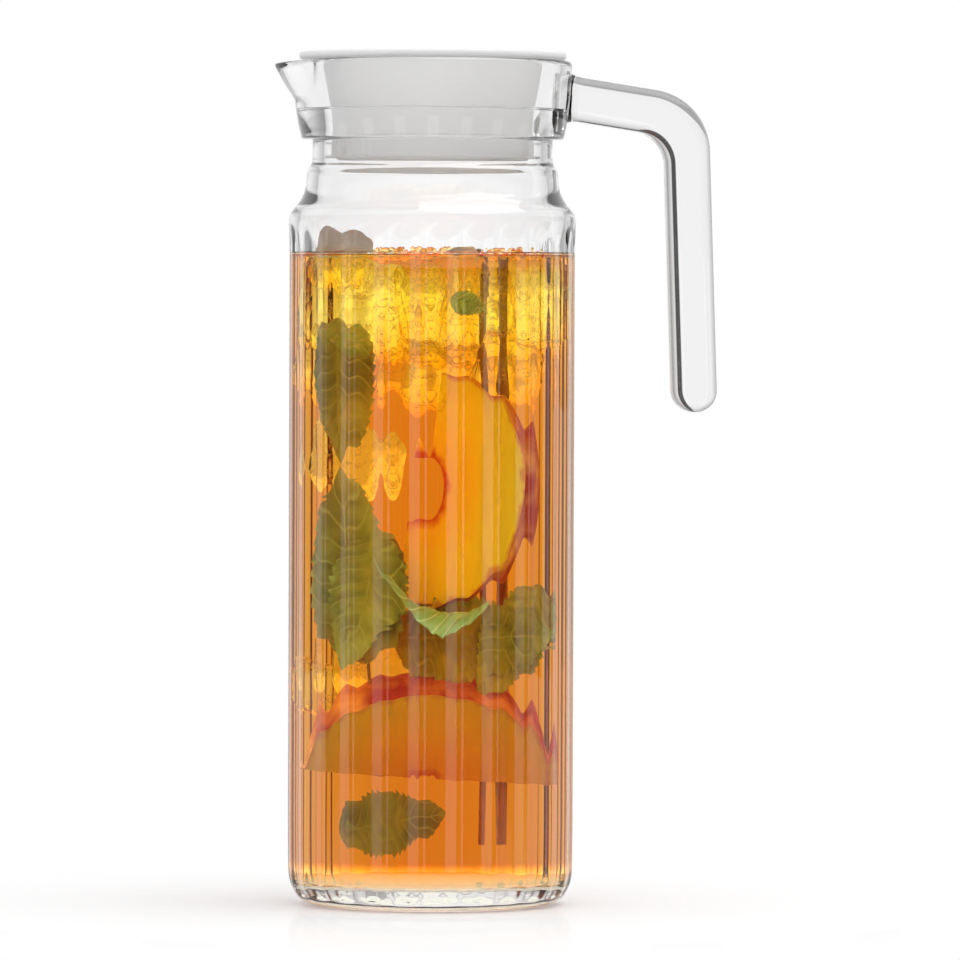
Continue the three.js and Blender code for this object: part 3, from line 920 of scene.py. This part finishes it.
for polygon in tea.data.polygons:
    centre = polygon.center / MM
    open_surface = polygon.normal.z > 0.5 and abs(centre.z - TEA_TOP) < 1.0
    wetting = centre.z > WET_FROM and not open_surface
    at_ice = wetting and math.hypot(centre.x, centre.y) < BORE - 0.2
    tea_face.data[polygon.index].value = 2.0 if at_ice else 1.0 if wetting else 0.0
    polygon.material_index = 0
pour_in(tea, 50)

# %% [markdown]
# A peach slice is a wedge of a ripe fruit: red skin on the round side, yellow flesh on the two cuts, and a
# hollow where the stone was, stained red. A value on each point says how far it is from the stone.


# %% Peach materials
def fruit_flesh(name, shade_share):
    """Flesh with a share of painted shade, from 0 to 1, that darkens its colour towards brown."""
    material = principled(name, (1.0, 0.8, 0.3), 0.55, IOR=1.05, Transmission_Weight=0.35)
    tree = material.node_tree
    depth = mesh_mark(tree, "from_stone", "Fac") + (speckle(tree, 260.0, 3.0) - 0.5) * 0.22
    flesh = colour_stops(
        depth,
        (0.02, (0.72, 0.16, 0.02)), (0.12, (1.0, 0.78, 0.04)), (0.55, (1.0, 0.93, 0.05)),
        (0.94, (1.0, 0.90, 0.04)), (1.0, (0.82, 0.42, 0.06)),
    )
    # The share mixes painted shade into the flesh's colours, towards a dark brown.
    show_colour(material, blend_colours(shade_share, flesh, (0.55, 0.30, 0.05)))
    return material


# The second copy is the same flesh darkened with painted shade, for the slice that lies low in the tea.
plain_flesh, shaded_flesh = fruit_flesh("peach_flesh", 0.0), fruit_flesh("peach_flesh_shaded", 0.6)
peach_skin = principled("peach_skin", (0.7, 0.1, 0.04), 0.5, IOR=1.1)
blotches = speckle(peach_skin.node_tree, 60.0, 6.0)
show_colour(peach_skin, colour_stops(blotches, (0.40, (0.46, 0.05, 0.03)), (0.70, (0.90, 0.38, 0.09))))
print("peach finishes", plain_flesh.name, shaded_flesh.name, peach_skin.name)


# %% Peach slices
def peach_slice(name, flesh, wide, tall, wedge, stone, spot, along, facing):
    """A wedge of fruit, its cut face to facing and its round side to along, as the camera sees them."""
    turns, layers, slices = 40, 10, 8
    rotation = turned_to(along, facing)
    shape = bmesh.new()
    value = shape.verts.layers.float.new("from_stone")
    grid = {}
    for i in range(turns + 1):
        polar = math.pi * i / turns
        for j in range(layers + 1):
            t = j / layers
            for k in range(slices + 1):
                if 0 < j < layers and 0 < k < slices:
                    continue
                swing = math.radians(wedge) * (k / slices - 0.5)
                reach = stone * (1 - t) + wide * t
                height = stone * 1.25 * (1 - t) + tall * t
                r = reach * math.sin(polar) ** 0.92
                wave = 1 + 0.02 * noise.noise(Vector((polar * 3, t * 4, swing * 6 * math.sin(polar))))
                local = Vector((r * math.cos(swing), height * math.cos(polar), r * math.sin(swing))) * wave
                vert = shape.verts.new((rotation @ (local * MM)) + from_view(*spot) * MM)
                vert[value] = t
                grid[i, j, k] = vert
    for i in range(turns):
        for j in range(layers):
            for k in (0, slices):
                corners = (grid[i, j, k], grid[i + 1, j, k], grid[i + 1, j + 1, k], grid[i, j + 1, k])
                shape.faces.new(corners)
        for k in range(slices):
            for j in (0, layers):
                corners = (grid[i, j, k], grid[i + 1, j, k], grid[i + 1, j, k + 1], grid[i, j, k + 1])
                shape.faces.new(corners).material_index = 1 if j == layers else 0
    bmesh.ops.remove_doubles(shape, verts=shape.verts, dist=1e-6)
    bmesh.ops.holes_fill(shape, edges=shape.edges)
    bmesh.ops.recalc_face_normals(shape, faces=shape.faces)
    pour_in(shape_object(name, shape, flesh, peach_skin), 40)


# The lying slice wears the flesh with painted shade.
for plan in (
    ("peach_upright", plain_flesh, 34, 37, 24, 8, (-4.0, 17, 130), (1.0, 0.15, -0.17), (-0.20, 1.0, 0.05)),
    ("peach_lying", shaded_flesh, 33, 35, 34, 1.2, (-2.0, 7, 40), (0.13, 0.35, 1.0), (0.1, 1.0, -0.8)),
):
    peach_slice(*plan)

# %% [markdown]
# A mint leaf is a thin blade with a toothed edge, a midrib and side veins that quilt its surface. One tree
# makes every leaf by that rule. Length, width, curl and place are its inputs.


# %% Leaf tree
def side_veins(along, away):
    """0 on each side vein, and up to 1 between two of them."""
    return abs(((along - away * 0.16) * 9.0 * math.pi).math("SINE"))


def build_leaf_tree():
    floats = ["Length", "Width", "Teeth", "Curl", "Cup", "Thickness"]
    tree, given = start_tree("mint_leaf", floats, vectors=["Place", "Turn"])
    size = {"Size X": 1.0, "Size Y": 1.0, "Vertices X": 97, "Vertices Y": 25}
    grid = value_of(tree, "GeometryNodeMeshGrid", size)
    position = value_of(tree, "GeometryNodeInputPosition")
    place = values_of(tree, "ShaderNodeSeparateXYZ", {"Vector": position})
    along = place["X"] + 0.5
    side = place["Y"] * 2.0
    away = abs(side)
    edge = away.math("POWER", 4.0)
    belly = (along.math("POWER", 0.72) * math.pi).math("SINE").math("MAXIMUM", 0.0).math("POWER", 0.85)
    tooth = (along * given["Teeth"]).math("FRACT")
    notch = 1.0 - tooth * 0.17 * edge
    half = belly * given["Width"] * 0.5
    quilt = side_veins(along, away) * belly * 0.0007
    swing = (along - 0.35) * given["Curl"]
    bend = swing * swing * given["Length"] * given["Curl"].math("SIGN")
    ripple = (along * 11.0).math("SINE") * edge * 0.0012 * belly
    middle = bend + quilt + (away * half * given["Cup"] + ripple)
    skin = (1.0 - edge) * belly * 0.5 * given["Thickness"]
    x, y = along * given["Length"], side * half * notch
    joined = new_node(tree, "GeometryNodeJoinGeometry")
    for sign in (1.0, -1.0):
        spot = value_of(tree, "ShaderNodeCombineXYZ", {"X": x, "Y": y, "Z": middle + skin * sign})
        inputs = {"Geometry": grid, "Name": "leaf_place", "Value": position}
        kinds = {"data_type": "FLOAT_VECTOR", "domain": "POINT"}
        marked = value_of(tree, "GeometryNodeStoreNamedAttribute", inputs, **kinds)
        tree.links.new(placed(marked, Position=spot).socket, joined.inputs[0])
    closed = merged(Value(tree, joined.outputs[0]), 2e-6)
    inputs = {"Geometry": closed, "Translation": given["Place"], "Rotation": given["Turn"]}
    return end_tree(tree, value_of(tree, "GeometryNodeTransform", inputs), given)


leaf_tree = build_leaf_tree()
print("leaf tree nodes", len(leaf_tree.nodes))


# %% Leaf materials
def leaf_material(name, dark, light, rib):
    material = principled(name, dark, 0.4, IOR=1.1, Subsurface_Weight=0.25, Subsurface_Scale=0.002)
    tree = material.node_tree
    part = values_of(tree, "ShaderNodeSeparateXYZ", {"Vector": mesh_mark(tree, "leaf_place", "Vector")})
    away = abs(part["Y"] * 2.0)
    vein = side_veins(part["X"] + 0.5, away).math("MINIMUM", away * 6.0).ramp(0.32, 0.05)
    greens = colour_stops(speckle(tree, 90.0, 4.0), (0.35, dark), (0.70, light))
    show_colour(material, blend_colours(vein, greens, rib))
    return material


mint = leaf_material("mint_leaf", (0.22, 0.24, 0.06), (0.42, 0.44, 0.11), (0.36, 0.39, 0.11))
mint_pale = leaf_material("mint_underside", (0.24, 0.42, 0.12), (0.40, 0.58, 0.19), (0.55, 0.70, 0.32))
mint_dark = leaf_material("mint_leaf_dark", (0.13, 0.14, 0.03), (0.24, 0.25, 0.06), (0.22, 0.24, 0.06))
print("leaf finishes", mint.name, mint_pale.name, mint_dark.name)

# %% Mint leaves
TEETH, LEAF_THICKNESS = 13.0, 0.6


def mint_leaf(name, finish, length, width, root, along, facing, curl, cup):
    """A leaf that grows from its root along one direction, with its face to another."""
    values = {
        "Length": length * MM, "Width": width * MM, "Teeth": TEETH, "Curl": curl, "Cup": cup,
        "Thickness": LEAF_THICKNESS * MM, "Place": from_view(*root) * MM,
        "Turn": Vector(turned_to(along, facing).to_euler()), "Material": finish,
    }
    obj = use_tree(mesh_object(name, []), leaf_tree, values)
    for vert in obj.data.vertices:
        vert.co = inside_bore(vert.co)
    pour_in(obj, 60)


for plan in (
    ("mint_high_left", mint, 46, 27, (-26, 13, 183), (-0.02, 0.12, -1), (0.35, 1, 0.1), 0.5, 0.25),
    ("mint_left", mint, 62, 34, (-17, 18, 76), (-0.12, 0.02, 1), (-0.35, 1, 0.1), 0.4, 0.35),
    ("mint_left_low", mint, 44, 26, (-13, 22, 116), (-0.28, 0.02, -1), (-0.2, 1, 0), 0.5, 0.3),
    ("mint_curl", mint_pale, 36, 24, (18, 31, 91), (-1, 0.0, 0.04), (0.0, 0.22, 1), 1.1, -0.3),
    ("mint_across", mint, 50, 30, (-12, 14, 84), (1, 0.05, 0.02), (0.02, 1, -0.15), 0.3, 0.3),
    ("mint_right", mint, 40, 24, (31, 12, 100), (-0.45, 0.12, -0.85), (0.35, 1, 0.1), 0.3, 0.25),
    ("mint_low", mint_dark, 31, 22, (-25, 19, 24), (1, 0.05, 0.20), (-0.1, 1, 0.05), 0.4, 0.2),
    ("mint_small", mint, 11, 8, (6, 32, 189), (1, 0.05, -0.35), (0, 1, 0.2), 0.4, 0.2),
):
    mint_leaf(*plan)

# %% [markdown]
# The leaves come from sprigs. A stalk stands near the middle of the carafe, bent by the ice, and a thin
# stem holds the left leaf. One small tree makes a round rod along a line.


# %% Stalks
def build_rod_tree():
    tree, given = start_tree("rod_along_line", ["Radius"])
    line = value_of(tree, "GeometryNodeMeshToCurve", {"Mesh": given["Geometry"]})
    inputs = {"Resolution": 14, "Radius": given["Radius"]}
    ring = value_of(tree, "GeometryNodeCurvePrimitiveCircle", inputs)
    inputs = {"Curve": line, "Profile Curve": ring, "Fill Caps": True}
    return end_tree(tree, merged(value_of(tree, "GeometryNodeCurveToMesh", inputs), 1e-6), given)


rod_tree = build_rod_tree()
stalk_brown = principled("mint_stalk", (0.32, 0.21, 0.09), 0.5, IOR=1.1)


def stalk(name, radius, corners):
    """A rod through corners as the camera sees them, with the bends eased."""
    spots = [Vector(corner) for corner in corners]
    for _ in range(3):
        finer = [spots[0]]
        for first, second in zip(spots, spots[1:]):
            finer += [first.lerp(second, 0.25), first.lerp(second, 0.75)]
        spots = finer + [spots[-1]]
    line = thread(name, [from_view(*spot) * MM for spot in spots])
    pour_in(use_tree(line, rod_tree, {"Radius": radius * MM, "Material": stalk_brown}), 60)


tall_bends = [(13, -4, 19), (15, -3, 70), (12, -5, 120), (17, -1, 150), (12, 2, 176), (14, 0, 205)]
stalk("mint_stalk_tall", 2.0, tall_bends)
stalk("mint_stem_left", 0.8, [(-17, 17, 78), (-16, 15, 70), (-12, 12, 60)])

# %% [markdown]
# Small beads of foam gather on the tea's edge. They are scattered from fixed seeds along the waterline.

# %% Foam
FOAM_SMALL, FOAM_LARGE, FOAM_RISE = 0.4, 1.1, 0.6
FOAM_LOW, FOAM_HIGH = (-0.0024, -0.0024, -0.0004), (0.0024, 0.0024, 0.0022)


def build_foam_tree():
    tree, given = start_tree("foam_beads", ["Low", "High"], ["Count", "Seed"])
    line = value_of(tree, "GeometryNodeMeshToCurve", {"Mesh": given["Geometry"]})
    inputs = {"Curve": line, "Count": given["Count"]}
    points = value_of(tree, "GeometryNodeCurveToPoints", inputs, "Points", mode="COUNT")
    inputs = {0: FOAM_LOW, 1: FOAM_HIGH, "Seed": given["Seed"]}
    shift = value_of(tree, "FunctionNodeRandomValue", inputs, 0, data_type="FLOAT_VECTOR")
    inputs = {2: given["Low"], 3: given["High"], "Seed": given["Seed"]}
    size = value_of(tree, "FunctionNodeRandomValue", inputs, 1, data_type="FLOAT")
    bead = value_of(tree, "GeometryNodeMeshUVSphere", {"Segments": 16, "Rings": 10, "Radius": 1.0})
    inputs = {"Points": placed(points, Offset=shift), "Instance": bead, "Scale": size}
    return end_tree(tree, value_of(tree, "GeometryNodeInstanceOnPoints", inputs), given)


foam_tree = build_foam_tree()


def foam(name, start, end, radius, count, seed):
    """Beads along the waterline between two bearings from the camera's side, in degrees."""
    line = arc((0.0, 0.0), radius, start, end, 24)
    spots = [from_view(across, nearer, TEA_TOP + FOAM_RISE) * MM for nearer, across in line]
    values = {"Low": FOAM_SMALL * MM, "High": FOAM_LARGE * MM, "Count": count, "Seed": seed}
    values["Material"] = foam_amber
    pour_in(use_tree(thread(name, spots), foam_tree, values), 60)


foam("foam_left", -24, 6, 37.5, 46, 4)
foam("foam_right", 28, 56, 38.0, 34, 9)
foam("foam_back", 120, 240, 37.0, 70, 6)

# %% [markdown]
# ## Floor, light and camera
# Clear glass shows only what it bends and mirrors, so the light is planned around its edges. A bright
# backdrop that fades away from the middle gives white faces with grey rims. A dark card behind, on the
# handle's side, draws the black line inside the grip. The floor glows a little, so light comes up through
# the foot too, and rays that crossed the tea find it brighter.


# %% Floor
def emission(tree, strength, colour=CLEAR):
    return value_of(tree, "ShaderNodeEmission", {"Color": (*colour, 1.0), "Strength": strength})


def both(first, second):
    """The light of two shaders together."""
    return value_of(first.tree, "ShaderNodeAddShader", {0: first, 1: second})


FLOOR_HALF, FLOOR_DROP = 1.6, 0.0002
floor_signs = [(-1, -1), (1, -1), (1, 1), (-1, 1)]
floor_corners = [(x * FLOOR_HALF, y * FLOOR_HALF, -FLOOR_DROP) for x, y in floor_signs]
floor = mesh_object("floor", floor_corners, faces=[(0, 1, 2, 3)])
floor_paint = bare_material("white_floor")
ground = floor_paint.node_tree
spot = value_of(ground, "ShaderNodeTexCoord", output="Object")
distance = spot.vector("LENGTH")
path = values_of(ground, "ShaderNodeLightPath")
bent_ray, faces_passed = path["Is Transmission Ray"], path["Transmission Depth"]

# %% [markdown]
# Near the carafe the floor is matt with a faint mirror. Further out it is a plain white glow, dimmer for
# rays that were mirrored or bent by the glass.

# %% Floor light
matte = value_of(ground, "ShaderNodeBsdfDiffuse", {"Color": (0.58, 0.58, 0.58, 1.0)})
under_foot = emission(ground, distance.ramp(0.0350, 0.0325) * 0.8 + 0.30)
tea_glow = emission(ground, faces_passed.ramp(3.5, 4.5) * bent_ray * 0.6, (0.8, 1.0, 0.3))
gloss = value_of(ground, "ShaderNodeBsdfGlossy", {"Roughness": 0.05})
near = blend(0.15, both(both(matte, under_foot), tea_glow), gloss)
few_faces = faces_passed.ramp(3.5, 2.5)
in_front = spot.vector("DOT_PRODUCT", NEARER).ramp(0.0, 0.2)
dimmed = in_front * path["Is Reflection Ray"] * -0.8
dimmed = dimmed + bent_ray * few_faces * distance.ramp(0.12, 0.30) * -0.6
dimmed = dimmed + (bent_ray - few_faces).math("MAXIMUM", 0.0) * -0.2
show(floor_paint, blend(distance.ramp(0.06, 0.22), near, emission(ground, dimmed + 1.0)))
floor.data.materials.append(floor_paint)
print("floor nodes", len(ground.nodes))

# %% World directions
world = bpy.data.worlds.new("studio")
scene.world = world
world.use_nodes = True
sky = world.node_tree
sky.nodes.clear()
ray = value_of(sky, "ShaderNodeTexCoord", output="Generated")
behind = ray.vector("DOT_PRODUCT", -NEARER)
sideways = ray.vector("DOT_PRODUCT", ACROSS)
upward = ray.vector("DOT_PRODUCT", UP)
key = ray.vector("DOT_PRODUCT", from_view(-0.45, 0.55, 0.70).normalized())


def choose(share, first, second):
    """The first level where the share is 0, and the second where it is 1."""
    return value_of(sky, "ShaderNodeMix", {0: share, 2: first, 3: second}, data_type="FLOAT")


def fan(angle, start, end):
    """A ramp between two angles in degrees."""
    return angle.ramp(math.radians(start), math.radians(end))


# %% [markdown]
# The world answers rays by what they did before. A ray that passed through glass sees the backdrop with
# its card. A ray mirrored by a surface sees a dim room with the bright backdrop. A ray from a matt surface
# sees an even soft light from above and in front. The camera itself sees plain white.
#
# How many faces a ray has passed tells what it crossed: up to two in solid glass such as the handle, more
# in the hollow body, and more again in the drink.

# %% World light
path = values_of(sky, "ShaderNodeLightPath")
faces_passed = path["Transmission Depth"]
solid = faces_passed.ramp(3.5, 2.5)
off_axis = abs(behind).math("MINIMUM", 1.0).math("ARCCOSINE")
wide = fan(off_axis, 84, 24).math("MAXIMUM", upward.ramp(0.35, 0.75))
backdrop = choose(solid, wide, fan(off_axis, 58, 8)) * 0.66 + 0.26
drink_gain = (upward.ramp(-0.014, 0.004) * 0.55 - 0.15) * faces_passed.ramp(4.5, 5.5)
hollow_gain = (1.0 - solid) * 0.08
backdrop = backdrop * (drink_gain + hollow_gain + 1.0)
bearing = sideways.math("ARCTAN2", behind)
card = fan(bearing, 9.5, 11.5) * fan(bearing, 25.0, 22.0) * upward.ramp(-0.05, -0.03)
backdrop = backdrop * (1.0 - card * solid * 0.93)
room = behind.ramp(0.1, 0.6) * 0.9 + 0.08
soft = (key * 0.42 + 0.86) * (faces_passed.ramp(4.0, 5.0) * 2.4 + 1.0)
level = choose(path["Is Reflection Ray"], backdrop, room)
level = choose(path["Diffuse Depth"].math("MINIMUM", 1.0), level, soft)
level = choose(path["Is Camera Ray"], level, 1.0)
shine = value_of(sky, "ShaderNodeBackground", {"Color": (*CLEAR, 1.0), "Strength": level})
new_node(sky, "ShaderNodeOutputWorld", {"Surface": shine})
print("world nodes", len(sky.nodes))


# %% Lamp
def look_at(spot, aim):
    return (Vector(aim) - Vector(spot)).to_track_quat("-Z", "Y")


LAMP_SPOT, LAMP_AIM, LAMP_SIZE, LAMP_WATTS = (0.45, -0.15, 1.5), (0, 0, 0.14), 1.2, 10.0
lamp_data = bpy.data.lights.new("overhead", "AREA")
lamp_data.shape = "RECTANGLE"
lamp_data.size, lamp_data.size_y = LAMP_SIZE, LAMP_SIZE
lamp_data.energy = LAMP_WATTS
lamp = new_object("overhead", lamp_data)
lamp.location = LAMP_SPOT
lamp.rotation_euler = look_at(LAMP_SPOT, LAMP_AIM).to_euler()
print("lamp watts", lamp_data.energy)

# %% [markdown]
# A row of upright strip lamps stands in front. Only sharp reflections show them, so each flute has one pale
# streak and the floor mirrors none. They end near the tea's level, and their spacing follows from that of
# the flutes.

# %% Strip lamps
STRIP_REACH, STRIP_TOP, STRIP_WIDTH, STRIP_PITCH, STRIP_TURN = 0.17, 0.204, 8.4, 26.2, 0.7
STRIP_STRENGTH = 1.35
corners, faces = [], []
for i in range(-3, 4):
    middle = STRIP_TURN + i * STRIP_PITCH
    for edge, height in ((-0.5, 0.0), (0.5, 0.0), (0.5, STRIP_TOP), (-0.5, STRIP_TOP)):
        a = math.radians(middle + edge * STRIP_WIDTH)
        corners.append(from_view(STRIP_REACH * math.sin(a), STRIP_REACH * math.cos(a), height))
    faces.append([len(corners) - 4 + j for j in range(4)])
strip_lamps = mesh_object("strip_lamps", corners, faces=faces)
strip_light = bare_material("strip_light")
sharp = value_of(strip_light.node_tree, "ShaderNodeLightPath", output="Is Singular Ray")
show(strip_light, emission(strip_light.node_tree, sharp * STRIP_STRENGTH))
strip_lamps.data.materials.append(strip_light)
for kind in ("camera", "diffuse", "transmission", "volume_scatter", "shadow"):
    setattr(strip_lamps, "visible_" + kind, False)
print("strip lamps", len(faces))

# %% [markdown]
# The camera stands far back, a little to the spout's side, so the verticals stay parallel as in the photo.

# %% Camera
VIEW_ACROSS, AIM_HEIGHT, CAMERA_DISTANCE, CAMERA_HEIGHT, CAMERA_ROLL = 0.0152, 0.1325, 2.6, 0.19, 0.22
camera_data = bpy.data.cameras.new("camera")
camera_data.lens = 312.0
camera_data.sensor_width = 36.0
camera_data.clip_end = 60.0
camera = new_object("camera", camera_data)
camera.location = from_view(VIEW_ACROSS, CAMERA_DISTANCE, CAMERA_HEIGHT)
look = look_at(camera.location, from_view(VIEW_ACROSS, 0.0, AIM_HEIGHT))
camera.rotation_mode = "QUATERNION"
camera.rotation_quaternion = look @ Matrix.Rotation(math.radians(CAMERA_ROLL), 3, "Z").to_quaternion()
scene.camera = camera
scene.view_settings.view_transform = "Standard"
scene.cycles.max_bounces = 64
scene.cycles.transmission_bounces = 64
scene.cycles.transparent_max_bounces = 16
scene.cycles.diffuse_bounces = 8
scene.cycles.use_denoising = True
print("camera at", [round(value, 4) for value in camera.location])
